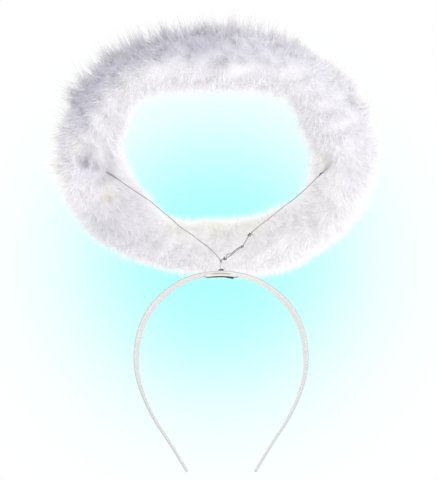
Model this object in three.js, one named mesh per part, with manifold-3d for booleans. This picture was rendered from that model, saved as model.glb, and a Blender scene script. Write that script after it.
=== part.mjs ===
import * as THREE from 'three';
import Module from 'manifold-3d';

// A feather halo on a covered headband, in millimetres. Z is up, the front is -Y and
// left means -X, as seen from the front. The origin is where the crown sits on the head.

const clearance = 0.3;
const headband = { width: 124.4, height: 140, wall: 1.5, crownDepth: 12.5, tipDepth: 8, stations: 56 };
const patch = { length: 26.5, depth: 10.4, thickness: 0.8, stations: 14 };
const wire = { arm: 1, ring: 1.6, binding: 0.5 };
const stem = { height: 9.6, turns: 2.35, stepsPerTurn: 9 };
const tail = { length: 7.5, bend: 1, steps: 4 };
const halo = { radius: 98.3, fullness: 25, shift: -4, rise: 78.4, tilt: 24.7 };
const ring = { outward: 3, steps: 60 };
const trim = { core: 0.92, lobes: 9, steps: 36, stations: 18, rows: 5, seed: 11 };
const lock = { sides: 5, root: 0.6, width: 0.36, thin: 0.8, lean: 11 };
const parting = { reach: 64, spread: 5.5, length: 48, steps: 5, below: 15 };
const coil = { turns: 1.5, stepsPerTurn: 10, straight: 1.6, close: 4.8, twist: 3.4 };
const baseCoil = { turns: 2.2, stepsPerTurn: 12 };

// Outer edge of the band from the crown to a tip, as shares of half its width and of its height.
const headbandShape = [
  { side: 0, down: 0 }, { side: 0.235, down: 0.011 }, { side: 0.469, down: 0.047 },
  { side: 0.701, down: 0.119 }, { side: 0.86, down: 0.203 }, { side: 0.955, down: 0.295 },
  { side: 0.997, down: 0.4 }, { side: 0.995, down: 0.475 }, { side: 0.957, down: 0.563 },
  { side: 0.871, down: 0.661 }, { side: 0.754, down: 0.757 }, { side: 0.606, down: 0.851 },
  { side: 0.384, down: 1 },
];

// The patch from end to end: its depth as a share, and how far it hangs from the band
// between lying against it (0) and lying over the wire tails (1).
const patchShape = [
  { along: 0, depth: 0.24, hang: 0.55 }, { along: 0.06, depth: 0.5, hang: 0.3 },
  { along: 0.15, depth: 0.76, hang: 1 }, { along: 0.4, depth: 1, hang: 1 },
  { along: 0.62, depth: 1, hang: 1 }, { along: 0.85, depth: 0.82, hang: 1 },
  { along: 0.94, depth: 0.58, hang: 0.4 }, { along: 1, depth: 0.26, hang: 0.85 },
];

// How each arm bows up off a straight line, as shares of that line, and how it is twisted
// back round itself from the ring wire. Turn is where on the halo it ends.
const arms = {
  left: {
    turn: 172,
    twist: { length: 8.6, turns: 1.3 },
    bow: [
      { along: 0.055, rise: 0.013 }, { along: 0.105, rise: 0.018 }, { along: 0.169, rise: 0.019 },
      { along: 0.233, rise: 0.02 }, { along: 0.308, rise: 0.016 }, { along: 0.371, rise: 0.023 },
      { along: 0.454, rise: 0.028 }, { along: 0.544, rise: 0.034 }, { along: 0.703, rise: 0.027 },
      { along: 0.8, rise: 0.025 }, { along: 0.889, rise: 0.016 }, { along: 0.94, rise: 0.008 },
    ],
  },
  right: {
    turn: 15,
    twist: { length: 27, turns: 4.6 },
    bow: [
      { along: 0.059, rise: -0.018 }, { along: 0.098, rise: -0.018 }, { along: 0.146, rise: -0.021 },
      { along: 0.184, rise: -0.009 }, { along: 0.222, rise: 0.003 }, { along: 0.252, rise: 0.005 },
      { along: 0.317, rise: 0.004 }, { along: 0.36, rise: 0 }, { along: 0.48, rise: -0.005 },
      { along: 0.57, rise: -0.012 }, { along: 0.657, rise: -0.011 }, { along: 0.72, rise: -0.007 },
      { along: 0.78, rise: -0.003 }, { along: 0.83, rise: 0.001 }, { along: 0.877, rise: 0.006 },
      { along: 0.93, rise: 0.005 },
    ],
  },
};

// The binding wire up the right arm: shares of its length, turns so far, and how many
// times its tight distance it stands off the arm.
const binding = {
  start: 2.6,
  length: 25.8,
  stepsPerTurn: 7,
  path: [
    { up: 0, turn: 0, stand: 1 }, { up: 0.054, turn: 1.6, stand: 1 }, { up: 0.155, turn: 2.1, stand: 2 },
    { up: 0.233, turn: 2.7, stand: 1.2 }, { up: 0.302, turn: 4.2, stand: 1 },
    { up: 0.581, turn: 5.6, stand: 1 },
    { up: 0.628, turn: 6.8, stand: 1 }, { up: 0.922, turn: 8.2, stand: 1 }, { up: 1, turn: 10.6, stand: 1 },
  ],
};

// The halo isn't quite round or even. By degrees from the right-hand side over the raised
// front: how far its middle lies off the circle, as a share of the radius, and half its
// thickness, as a share of the fullness.
const haloShape = [
  { turn: 0, out: -0.008, half: 1.06 }, { turn: 30, out: 0.008, half: 1 },
  { turn: 60, out: 0.078, half: 0.75 }, { turn: 90, out: 0.042, half: 0.85 },
  { turn: 120, out: 0.078, half: 0.71 }, { turn: 150, out: -0.001, half: 0.88 },
  { turn: 180, out: -0.045, half: 1.12 }, { turn: 210, out: -0.043, half: 1.18 },
  { turn: 240, out: -0.019, half: 0.96 }, { turn: 270, out: -0.07, half: 1.04 },
  { turn: 300, out: -0.002, half: 1.14 }, { turn: 330, out: 0.013, half: 1 },
];

const up = new THREE.Vector3(0, 0, 1);
const rad = THREE.MathUtils.degToRad;
const vec = (x, y, z) => new THREE.Vector3(x, y, z);
const wasm = await Module();
wasm.setup();

// Reads a table's columns at any key between its rows, straight or eased.
function readTable(rows, key, names, eased) {
  const keys = rows.map((row) => row[key]);
  return (at) => {
    const found = keys.findIndex((value) => value >= at);
    const i = Math.max(found < 0 ? keys.length - 1 : found, 1);
    const t = THREE.MathUtils.clamp((at - keys[i - 1]) / (keys[i] - keys[i - 1]), 0, 1);
    const share = eased ? THREE.MathUtils.smoothstep(t, 0, 1) : t;
    return names.map((name) => THREE.MathUtils.lerp(rows[i - 1][name], rows[i][name], share));
  };
}

// A closed body through sections of equal counts; the first and last are capped or joined.
function loft(sections, joined = false) {
  const count = sections[0].length;
  const points = sections.flat();
  const index = [];
  const bands = joined ? sections.length : sections.length - 1;
  for (let i = 0; i < bands; i += 1) {
    const a = i * count;
    const b = ((i + 1) % sections.length) * count;
    for (let j = 0; j < count; j += 1) {
      const k = (j + 1) % count;
      index.push(a + j, a + k, b + k, a + j, b + k, b + j);
    }
  }
  const last = (sections.length - 1) * count;
  for (let j = 1; j < count - 1 && !joined; j += 1) {
    index.push(0, j + 1, j, last, last + j, last + j + 1);
  }
  return outward(points, index);
}

// A geometry whose faces look out, whichever way its sections ran.
function outward(points, index) {
  let volume = 0;
  for (let i = 0; i < index.length; i += 3) {
    const [a, b, c] = [points[index[i]], points[index[i + 1]], points[index[i + 2]]];
    volume += a.dot(b.clone().cross(c));
  }
  const faces = volume > 0 ? index : index.slice().reverse();
  const geometry = new THREE.BufferGeometry();
  const places = points.flatMap((point) => point.toArray());
  geometry.setAttribute('position', new THREE.Float32BufferAttribute(places, 3));
  geometry.setIndex(faces);
  return geometry;
}

// Directions across a path that don't spin as it bends, starting from a chosen one.
function frames(path, start) {
  const result = [];
  let across = start.clone();
  path.forEach((point, i) => {
    const before = path[Math.max(i - 1, 0)];
    const after = path[Math.min(i + 1, path.length - 1)];
    const along = after.clone().sub(before).normalize();
    across = across.clone().addScaledVector(along, -across.dot(along)).normalize();
    result.push({ point, along, across, third: along.clone().cross(across) });
  });
  return result;
}

function offset(frame, reach, angle) {
  return frame.point.clone()
    .addScaledVector(frame.across, reach * Math.cos(angle))
    .addScaledVector(frame.third, reach * Math.sin(angle));
}

function roundWire(path, diameter, sides = 5) {
  const start = Math.abs(path[1].clone().sub(path[0]).normalize().z) > 0.8 ? vec(0, 1, 0) : up;
  return loft(frames(path, start).map((frame) => Array.from({ length: sides },
    (_, k) => offset(frame, diameter / 2, (k / sides) * 2 * Math.PI))));
}

const solid = (geometry) => new wasm.Manifold(new wasm.Mesh({
  numProp: 3,
  vertProperties: new Float32Array(geometry.attributes.position.array),
  triVerts: new Uint32Array(geometry.index.array),
}));

function geometryOf(body) {
  const mesh = body.getMesh();
  const geometry = new THREE.BufferGeometry();
  geometry.setAttribute('position', new THREE.BufferAttribute(new Float32Array(mesh.vertProperties), 3));
  geometry.setIndex(new THREE.BufferAttribute(new Uint32Array(mesh.triVerts), 1));
  return geometry;
}

// Heights at the crown, from the head up.
const tailDepth = headband.wall + clearance + wire.arm / 2;
const patchDepth = headband.wall + 2 * clearance + wire.arm;
const crownTop = patchDepth + patch.thickness;
const stemReach = (wire.arm + clearance) / 2;
const junction = crownTop + stem.height;

// The band's outer edge, by distance from the crown, with the way inward from it.
const edge = new THREE.CatmullRomCurve3([
  ...headbandShape.slice(1).reverse().map((row) => vec(-row.side, 0, -row.down)),
  ...headbandShape.map((row) => vec(row.side, 0, -row.down)),
].map((p) => vec(p.x * headband.width / 2, 0, p.z * headband.height + crownTop)), false, 'centripetal');
edge.arcLengthDivisions = 800;
const edgeLength = edge.getLength();

function bandPoint(distance, depth) {
  const at = THREE.MathUtils.clamp(0.5 + distance / edgeLength, 0, 1);
  const along = edge.getTangentAt(at);
  return edge.getPointAt(at).addScaledVector(vec(along.z, 0, -along.x).normalize(), depth);
}

function headbandGeometry() {
  const round = headband.wall * 0.3;
  const sections = [];
  for (let i = 0; i <= headband.stations; i += 1) {
    const distance = (i / headband.stations - 0.5) * edgeLength;
    const far = Math.abs(distance) / (edgeLength / 2);
    const half = THREE.MathUtils.lerp(headband.crownDepth, headband.tipDepth, far * far) / 2;
    const corners = [
      [round, half], [0, half - round], [0, round - half], [round, -half],
      [headband.wall - round, -half], [headband.wall, round - half],
      [headband.wall, half - round], [headband.wall - round, half],
    ];
    sections.push(corners.map(([depth, y]) => bandPoint(distance, depth).setY(y)));
  }
  const bore = 2 * stemReach + wire.arm + 2 * clearance;
  const hole = wasm.Manifold.cylinder(8 * headband.wall, bore / 2, bore / 2, 16)
    .translate([0, 0, crownTop - 4 * headband.wall]);
  return geometryOf(solid(loft(sections)).subtract(hole));
}

function patchGeometry() {
  const shape = readTable(patchShape, 'along', ['depth', 'hang'], true);
  const sections = [];
  for (let i = 0; i <= patch.stations; i += 1) {
    const [depth, hang] = shape(i / patch.stations);
    const distance = (i / patch.stations - 0.5) * patch.length;
    const near = headband.wall + clearance;
    const top = THREE.MathUtils.lerp(near, patchDepth, hang);
    const half = depth * patch.depth / 2;
    const corners = [[top, half], [top, 0], [top, -half],
      [top + patch.thickness * 0.6, -half], [top + patch.thickness, -half * 0.8],
      [top + patch.thickness, half * 0.8], [top + patch.thickness * 0.6, half]];
    sections.push(corners.map(([d, y]) => bandPoint(distance, d).setY(y)));
  }
  return loft(sections);
}

// The halo's plane: the way to its raised front edge, and the way through it.
const raised = vec(0, -Math.cos(rad(halo.tilt)), Math.sin(rad(halo.tilt)));
const through = vec(0, Math.sin(rad(halo.tilt)), Math.cos(rad(halo.tilt)));
const shapeAt = readTable([...haloShape, { ...haloShape[0], turn: 360 }], 'turn', ['out', 'half'], true);
const fullTurn = (turn) => ((turn % 360) + 360) % 360;

function outFrom(turn) {
  return vec(1, 0, 0).multiplyScalar(Math.cos(rad(turn))).addScaledVector(raised, Math.sin(rad(turn)));
}

function haloPoint(turn, outward) {
  const [out] = shapeAt(fullTurn(turn));
  const middle = vec(halo.shift, 0, crownTop + halo.rise);
  return middle.addScaledVector(outFrom(turn), halo.radius * (1 + out) + outward);
}

function ringGeometry() {
  const sides = 5;
  const sections = Array.from({ length: ring.steps }, (_, i) => {
    const turn = (i / ring.steps) * 360;
    const middle = haloPoint(turn, ring.outward);
    return Array.from({ length: sides }, (__, k) => middle.clone()
      .addScaledVector(outFrom(turn), wire.ring / 2 * Math.cos((k / sides) * 2 * Math.PI))
      .addScaledVector(through, wire.ring / 2 * Math.sin((k / sides) * 2 * Math.PI)));
  });
  return loft(sections, true);
}

// The reach of a stepped coil whose flats stay as far out as a round one.
const wound = (reach, stepsPerTurn) => reach / Math.cos(Math.PI / stepsPerTurn);

// An arm's free length, from the top of the stem to where it meets the ring wire.
function armRoute(arm, side) {
  const start = vec(side * stemReach, 0, junction);
  const middle = haloPoint(arm.turn, ring.outward);
  const axis = outFrom(arm.turn + 90);
  const away = start.clone().sub(middle);
  const inward = away.addScaledVector(axis, -away.dot(axis)).normalize();
  const below = inward.clone().cross(axis).multiplyScalar(inward.clone().cross(axis).z > 0 ? -1 : 1);
  const reach = wound((wire.ring + wire.arm) / 2 + clearance, coil.stepsPerTurn);
  const end = middle.clone().addScaledVector(below, reach);
  const line = end.clone().sub(start);
  const length = line.length();
  const rise = up.clone().addScaledVector(line, -line.z / (length * length)).normalize();
  const knots = arm.bow.map((row) => start.clone().addScaledVector(line, row.along)
    .addScaledVector(rise, row.rise * length));
  const lead = end.clone().addScaledVector(inward, 3);
  const curve = new THREE.CatmullRomCurve3([start, ...knots, lead, end], false, 'centripetal');
  return { curve, middle, axis, inward, below, reach, end };
}

const routes = { left: armRoute(arms.left, -1), right: armRoute(arms.right, 1) };

// One arm: a tail under the band, a turn of the stem, the free length, a coil round the
// ring wire and a twist back round itself.
function armPath(name, side) {
  const route = routes[name];
  const path = [];
  for (let i = tail.steps; i > 0; i -= 1) {
    const share = (i - 1) / (tail.steps - 1);
    const distance = side * THREE.MathUtils.lerp(stemReach + tail.bend, tail.length, share);
    path.push(bandPoint(distance, tailDepth).setY(-side * (clearance + wire.arm) * 0.62));
  }
  const stemBase = crownTop - tailDepth + 0.1;
  const steps = Math.round(stem.turns * stem.stepsPerTurn);
  for (let i = 0; i < steps; i += 1) {
    const angle = (side > 0 ? 0 : Math.PI) - (1 - i / steps) * stem.turns * 2 * Math.PI;
    const z = THREE.MathUtils.lerp(stemBase, junction, i / steps);
    path.push(vec(stemReach * Math.cos(angle), stemReach * Math.sin(angle), z));
  }
  path.push(...route.curve.getSpacedPoints(30).slice(0, -1));
  const coilSteps = coil.turns * coil.stepsPerTurn;
  const pitch = wire.arm + clearance + 0.1;
  for (let i = 0; i <= coilSteps; i += 1) {
    const angle = (i / coil.stepsPerTurn) * 2 * Math.PI;
    path.push(route.middle.clone()
      .addScaledVector(route.below, route.reach * Math.cos(angle))
      .addScaledVector(route.inward, -route.reach * Math.sin(angle))
      .addScaledVector(route.axis, (i / coil.stepsPerTurn) * pitch));
  }
  path.push(...twistBack(arms[name].twist, route, coil.turns * pitch));
  return path;
}

function twistBack(twist, route, sideways) {
  const total = route.curve.getLength();
  const tight = wound(wire.arm + clearance, coil.stepsPerTurn);
  const first = Math.hypot(2 * route.reach, sideways);
  const steps = Math.round(twist.turns * coil.stepsPerTurn) + 3;
  const guide = Array.from({ length: steps + 1 }, (_, i) => route.curve.getPointAt(
    1 - (i / steps) * twist.length / total));
  const phase = Math.atan2(sideways, -2 * route.reach);
  return frames(guide, route.below).slice(1).map((frame, i) => {
    const share = (i + 1) / steps;
    const gone = share * twist.length;
    const closing = THREE.MathUtils.smoothstep(gone, coil.straight, coil.close);
    const reach = THREE.MathUtils.lerp(first, tight, closing);
    const turned = Math.max(0, gone - coil.twist) / (twist.length - coil.twist);
    const hand = Math.sign(frame.third.dot(route.axis)) || 1;
    return offset(frame, reach, hand * (phase + turned * twist.turns * 2 * Math.PI));
  });
}

function bindingGeometry() {
  const { curve } = routes.right;
  const total = curve.getLength();
  const shape = readTable(binding.path, 'turn', ['up', 'stand'], false);
  const turns = binding.path.at(-1).turn;
  const steps = Math.round(turns * binding.stepsPerTurn);
  const tight = wound((wire.arm + wire.binding) / 2 + clearance, binding.stepsPerTurn);
  const stations = Array.from({ length: steps + 1 }, (_, i) => shape((i / steps) * turns));
  const guide = stations.map(([share]) => curve.getPointAt(
    (binding.start + share * binding.length) / total));
  const path = frames(guide, vec(0, -1, 0)).map((frame, i) => offset(
    frame, tight * stations[i][1], (i / steps) * turns * 2 * Math.PI));
  return roundWire(path, wire.binding);
}

function baseCoilGeometry() {
  const reach = wound(stemReach + (wire.arm + wire.binding) / 2 + clearance, baseCoil.stepsPerTurn);
  const base = crownTop + clearance + wire.binding / 2;
  const steps = Math.round(baseCoil.turns * baseCoil.stepsPerTurn);
  const path = Array.from({ length: steps + 1 }, (_, i) => {
    const angle = (i / baseCoil.stepsPerTurn) * 2 * Math.PI;
    const z = base + (i / baseCoil.stepsPerTurn) * (wire.binding + clearance);
    return vec(reach * Math.cos(angle), reach * Math.sin(angle), z);
  });
  return roundWire(path, wire.binding);
}

// Even, repeatable variation between one lock and the next.
function variation(seed) {
  let state = seed;
  return () => {
    state = (state * 1664525 + 1013904223) % 4294967296;
    return state / 4294967296;
  };
}

function trimPoint(turn, angle, share) {
  const half = halo.fullness * shapeAt(fullTurn(turn))[1] * share;
  return haloPoint(turn, half * Math.cos(angle)).addScaledVector(through, half * Math.sin(angle));
}

function lockBody(turn, angle, chance) {
  const lean = lock.lean * (0.6 + 0.8 * chance());
  const swing = (chance() - 0.5) * 0.7;
  const size = halo.fullness * shapeAt(fullTurn(turn))[1] * lock.width * (0.8 + 0.4 * chance());
  const height = 1.02 + 0.12 * chance();
  const rows = [
    { out: lock.root, width: 1 }, { out: 0.9, width: 0.86 }, { out: height, width: 0.12 },
  ];
  const path = rows.map((row) => {
    const share = (row.out - lock.root) / (height - lock.root);
    return trimPoint(turn + lean * share * share, angle + swing * share * share, row.out);
  });
  const sections = frames(path, outFrom(turn + 90)).map((frame, i) => Array.from(
    { length: lock.sides }, (_, k) => {
      const round = (k / lock.sides) * 2 * Math.PI;
      const half = size * rows[i].width;
      return frame.point.clone()
        .addScaledVector(frame.across, half * Math.cos(round))
        .addScaledVector(frame.third, half * lock.thin * Math.sin(round));
    }));
  return solid(loft(sections));
}

// The feathers part along an arm, down to the ring wire, on the side that looks forward.
function partingBody(name) {
  const route = routes[name];
  const total = route.curve.getLength();
  const view = vec(0, -Math.cos(rad(parting.below)), -Math.sin(rad(parting.below)));
  const room = wire.arm * 1.5 + 2 * clearance;
  const slices = Array.from({ length: parting.steps + 1 }, (_, i) => {
    const middle = route.curve.getPointAt(1 - (i / parting.steps) * parting.length / total);
    const sideways = route.inward.clone().cross(view).normalize();
    return [[-room, room], [parting.reach, parting.spread]].flatMap(([out, half]) => [half, -half].map(
      (side) => middle.clone().addScaledVector(view, out).addScaledVector(sideways, side).toArray()));
  });
  const bodies = slices.slice(1).map((slice, i) => wasm.Manifold.hull([...slice, ...slices[i]]));
  const coilReach = wire.ring / 2 + wire.arm + 2 * clearance;
  const coilLength = (coil.turns + 1.5) * (wire.arm + clearance);
  bodies.push(rod(route.middle.clone().addScaledVector(route.axis, -coilReach),
    route.middle.clone().addScaledVector(route.axis, coilLength), coilReach));
  bodies.push(rod(route.middle.clone().addScaledVector(route.axis, coilReach / 3),
    route.middle.clone().addScaledVector(route.axis, coilReach / 3).addScaledVector(route.inward, 9),
    coilReach + clearance));
  return wasm.Manifold.union(bodies);
}

function rod(from, to, reach) {
  const sections = frames([from, to], up).map((frame) => Array.from({ length: 8 },
    (_, k) => offset(frame, reach * 1.09, (k / 8) * 2 * Math.PI)));
  return solid(loft(sections));
}

function channelBody() {
  const reach = wire.ring / 2 + clearance;
  const sections = Array.from({ length: ring.steps }, (_, i) => {
    const turn = (i / ring.steps) * 360;
    const middle = haloPoint(turn, ring.outward);
    return [[1, 1], [-1, 1], [-1, -1], [1, -1]].map(([a, b]) => middle.clone()
      .addScaledVector(outFrom(turn), a * reach).addScaledVector(through, b * reach));
  });
  return solid(loft(sections, true));
}

function trimBody() {
  const chance = variation(trim.seed);
  const core = Array.from({ length: trim.steps }, (_, i) => {
    const turn = (i / trim.steps) * 360;
    return Array.from({ length: trim.lobes }, (__, k) => trimPoint(
      turn, (k / trim.lobes) * 2 * Math.PI, trim.core * (0.95 + 0.1 * chance())));
  });
  const bodies = [solid(loft(core, true))];
  for (let i = 0; i < trim.stations; i += 1) {
    for (let row = 0; row < trim.rows; row += 1) {
      const turn = ((i + (row % 2) / 2 + 0.3 * (chance() - 0.5)) / trim.stations) * 360;
      const angle = ((row + 0.37 * i + 0.2 * (chance() - 0.5)) / trim.rows) * 2 * Math.PI;
      bodies.push(lockBody(turn, angle, chance));
    }
  }
  const cuts = [channelBody(), partingBody('left'), partingBody('right')];
  return wasm.Manifold.union(bodies).subtract(wasm.Manifold.union(cuts));
}

const feathers = trimBody();

// The feathers are two lengths, one to each side, whose ends meet at the front and the back.
function feathersGeometry(side) {
  const half = feathers.trimByPlane([side, 0, 0], side * halo.shift + clearance / 2);
  const parts = half.decompose().sort((a, b) => b.volume() - a.volume());
  return geometryOf(parts[0]);
}

const colours = {
  headband: 0xd9d2cf, cover_patch: 0xe9e6dc, left_arm_wire: 0x9c96a0, right_arm_wire: 0x9c96a0,
  junction_wrap: 0x8a8590, base_coil: 0x4c4a4e, ring_wire: 0x8f8f94,
  left_feathers: 0xf2f2f7, right_feathers: 0xf2f2f7,
};

function mesh(name, geometry) {
  const material = new THREE.MeshStandardMaterial({ color: colours[name], roughness: 0.7 });
  const part = new THREE.Mesh(geometry, material);
  part.name = name;
  return part;
}

const part = new THREE.Group();
part.name = 'halo_headband';
part.add(
  mesh('headband', headbandGeometry()),
  mesh('cover_patch', patchGeometry()),
  mesh('left_arm_wire', roundWire(armPath('left', -1), wire.arm)),
  mesh('right_arm_wire', roundWire(armPath('right', 1), wire.arm)),
  mesh('junction_wrap', bindingGeometry()),
  mesh('base_coil', baseCoilGeometry()),
  mesh('ring_wire', ringGeometry()),
  mesh('left_feathers', feathersGeometry(-1)),
  mesh('right_feathers', feathersGeometry(1)),
);

export default part;
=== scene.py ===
"""Looks of the halo headband: marabou feathers, twisted wires, a ribbon-covered band and its patch."""
import math

import bpy
import numpy as np
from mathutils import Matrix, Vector


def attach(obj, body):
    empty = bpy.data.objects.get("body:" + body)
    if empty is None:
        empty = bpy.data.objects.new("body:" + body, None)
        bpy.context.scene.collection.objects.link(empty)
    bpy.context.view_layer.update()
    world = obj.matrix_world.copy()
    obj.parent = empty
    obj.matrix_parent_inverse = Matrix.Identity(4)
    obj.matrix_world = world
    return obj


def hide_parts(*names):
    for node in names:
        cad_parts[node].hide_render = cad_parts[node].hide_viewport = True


# Lengths in millimetres, turns and angles in degrees, other numbers shares
MM = 0.001
CLEARANCE = 0.3
BAND = {"width": 124.4, "height": 140, "wall": 1.5, "crown_depth": 12.5, "tip_depth": 8}
PATCH = {"length": 26.5, "depth": 10.4, "thickness": 0.8}
WIRE = {"arm": 1.0, "ring": 1.6, "binding": 0.5}
STRAND = {"aside": 0.235, "radius": 0.265, "pitch": 2.6, "single": 0.42,
          "fade": 4, "nub": 1.25, "nub_reach": 1.1}
STEM = {"height": 9.6, "turns": 2.35, "coil_turns": 2.2}
TAIL = {"length": 7.5, "bend": 1}
HALO = {"radius": 98.3, "fullness": 25, "shift": -4, "rise": 78.4, "tilt": 24.7, "outward": 3}
COIL = {"turns": 1.5, "straight": 1.6, "close": 4.8, "twist": 3.4, "approach": 3}

# Out from the middle as a share of half the width, down as a share of the height
BAND_SHAPE = [
    (0, 0), (0.235, 0.011), (0.469, 0.047), (0.701, 0.119), (0.86, 0.203), (0.955, 0.295), (0.997, 0.4),
    (0.995, 0.475), (0.957, 0.563), (0.871, 0.661), (0.754, 0.757), (0.606, 0.851), (0.384, 1),
]
# Share of the length, share of the depth
PATCH_SHAPE = [
    (0, 0.24), (0.06, 0.5), (0.15, 0.76), (0.4, 1), (0.62, 1), (0.85, 0.82), (0.94, 0.58), (1, 0.26),
]
# The twist is a length and its turns, covered is hidden wire, and the bow is off a straight line
ARMS = {
    "left": {
        "side": -1, "turn": 172, "twist": (8.6, 1.3), "covered": 13,
        "bow": [(0.055, 0.013), (0.105, 0.018), (0.169, 0.019), (0.233, 0.02), (0.308, 0.016),
                (0.371, 0.023), (0.454, 0.028), (0.544, 0.034), (0.703, 0.027), (0.8, 0.025),
                (0.889, 0.016), (0.94, 0.008)],
    },
    "right": {
        "side": 1, "turn": 15, "twist": (28.6, 4.9), "covered": 17.5,
        "bow": [(0.059, -0.018), (0.098, -0.018), (0.146, -0.021), (0.184, -0.009), (0.222, 0.003),
                (0.252, 0.005), (0.317, 0.004), (0.36, 0), (0.48, -0.005), (0.57, -0.012),
                (0.657, -0.011), (0.72, -0.007), (0.78, -0.003), (0.83, 0.001), (0.877, 0.006),
                (0.93, 0.005)],
    },
}
BINDING = {"start": 1.4, "length": 28.6}
# Share of the length, turns round the wire, stand-off
BINDING_PATH = [
    (0, 0, 0.9), (0.045, 2.1, 0.9), (0.085, 2.6, 1.2), (0.14, 2.75, 1.75), (0.19, 2.75, 1.5),
    (0.24, 2.75, 0.8), (0.54, 2.75, 0.75), (0.575, 3.6, 0.85), (0.61, 4.45, 0.85), (0.65, 4.55, 0.7),
    (0.9, 4.55, 0.7), (0.925, 5.5, 0.9), (0.985, 7.1, 0.9), (1, 7.3, 1.2), (1.004, 7.32, 1.8),
]
# Turn, share that the radius grows by, share of the fullness
HALO_SHAPE = [
    (0, -0.008, 1.06), (30, 0.008, 1), (60, 0.078, 0.75), (90, 0.042, 0.85), (120, 0.078, 0.71),
    (150, -0.001, 0.88), (180, -0.045, 1.12), (210, -0.043, 1.18), (240, -0.019, 0.96), (270, -0.07, 1.04),
    (300, -0.002, 1.14), (330, 0.013, 1), (360, -0.008, 1.06),
]
VALLEY = {"below": 15, "behind": 0.9, "slope": 1.0, "length": 46, "closing": 4, "wide": 12, "side_slope": 4,
          "end_slope": {"left": -0.3, "right": 1.5}, "end_from": 32, "end_over": 14, "closed_rise": 40}
# How far along the left arm, slope, lift, darkness and its reach
PITS = [(0, 1.8, 11.5, 0.24, 1.1), (8.6, 3, 9.5, 0.2, 0.7)]
PIT_REACH = 12
# Shares of the press that soft barbs resist
FUZZ = {"side": 0.2, "half_wide": 2.5, "end": 0.3, "pit": 0.25}
CORE = {"share": 0.78, "turns": 400, "angles": 56, "waves": 10, "wave": 0.012, "behind_wire": 2,
        "under_pit": 3, "tint": 0.97}
TUFT = {"forward": 0.12, "aside": 0.22, "scatter": 1.3, "shortest": 0.62, "longer": 0.5, "bend": 0.35,
        "unrest": 0.07, "curl": 0.45, "lean": 0.2, "steps": (0, 0.36, 0.7, 1)}
BARBS = {"tufts": 3600, "each": 32, "width": 0.24, "root": 0.5, "seed": 7, "spread": 0.26, "converge": 0.45,
         "tilt": 0.3, "golden": 0.381966, "sectors": 5}
DOWN = {"tufts": 14000, "each": 4, "width": 0.34, "spread": 0.45, "converge": 0.3, "tilt": 0.25,
        "steps": (0, 0.55, 1)}
WISPS = {"tufts": 380, "each": 14, "width": 0.36, "reach": 0.68, "tint": np.array([0.9, 0.895, 0.86]),
         "spread": 0.13, "converge": 0.9, "tilt": 1.5, "lean": 0.42}
# Turn, share of the wisps' reach
WISP_REACH = [
    (0, 0), (25, 0.45), (45, 0.4), (60, 0.35), (70, 0.6), (80, 1), (87, 0.6), (93, 0.4), (102, 0.6),
    (112, 0.9), (120, 1), (132, 0.85), (150, 0.85), (160, 0.5), (176, 0.45), (192, 0),
]
RIBBON_WIDTHS = np.array([0.8, 1.0, 0.62])
SHADE = {"cool": 0.31, "tips": 0.1, "wrap": 0.6, "colour": np.array([1.0, 1.01, 0.84]), "unrest": 0.02}
# Turn, shade on the outer side, shade all over
SHADE_ROUND = [
    (0, 0.15, 0), (15, 0.2, 0.08), (45, 0.25, 0.2), (75, 0.48, 0.15), (95, 0.8, 0.12), (120, 0.85, 0.14),
    (142, 0.8, 0.17), (158, 0.22, 0.13), (180, 0, 0.14), (200, 0.2, 0.24), (222, 0.2, 0.08),
    (240, 0.15, 0), (265, 0.05, 0), (290, 0, 0), (315, 0, 0), (335, 0.05, 0), (360, 0.15, 0),
]
# Turn, angle, reach and colour of each mark in the feathers: stains and tints, and painted shade in creases
# and round the left arm's coil
MARKS = [
    # Brownish stains
    (184, 241, 3.4, (0.84, 0.79, 0.66)), (184.5, 243, 1.8, (0.72, 0.68, 0.54)),
    # Painted shade in the parting and the crease along the raised arc
    (123, 297, 2.6, (0.72, 0.72, 0.7)), (81, 306, 2.5, (0.84, 0.84, 0.86)),
    (77, 309, 2.5, (0.82, 0.82, 0.84)), (73, 306, 2.5, (0.84, 0.84, 0.86)),
    (69, 306, 2.5, (0.86, 0.86, 0.88)), (93, 309, 7, (0.9, 0.9, 0.92)),
    # Painted lavender shade round the left arm's coil
    (162, 270, 6, (0.91, 0.895, 0.96)), (169, 255, 5, (0.94, 0.925, 0.975)),
    # Yellowish stains and a warm tint at the inner rim
    (157, 300, 4, (1, 1, 0.94)), (18, 225, 4, (0.98, 0.98, 0.91)), (246, 156, 9, (1, 1, 0.95)),
    (269, 156, 9, (1, 1, 0.95)), (294, 165, 9, (1, 1, 0.95)),
]
ARM_TINT = {"wire": (0.42, 0.395, 0.41), "stem": (0.77, 0.75, 0.75), "dark": (0.3, 0.24, 0.26),
            "binding": (0.13, 0.11, 0.145), "coil": (0.04, 0.04, 0.045), "parting": 0.78, "parted": 0.95,
            "cut_end": 1.6}
# Painted shade: the ribbon's outer faces grey, its inside paler; lit_side lightens the inside on the right
RIBBON = {"outer": np.array([0.355, 0.361, 0.356]), "inner": np.array([0.565, 0.568, 0.556]),
          "lit_side": (0.935, 1.07), "lit_over": (-8, 8), "corner": 0.5}
# Share of the way from crown to tip, brightness outside, brightness inside
RIBBON_SHADE = [
    (0, 1, 1), (0.28, 1.06, 0.93), (0.5, 1.1, 0.9), (0.6, 1.04, 0.86), (0.72, 0.98, 0.84),
    (0.85, 1, 0.84), (1, 1.02, 0.82),
]
# Share of the way from crown to tip, how far the back edge leans inward
LEAN = [
    (0, 0), (0.1, 0.05), (0.17, 0.5), (0.28, 1.25), (0.4, 1.45), (0.5, 1.35), (0.61, 0.6), (0.72, 0.05),
    (1, 0),
]
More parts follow.
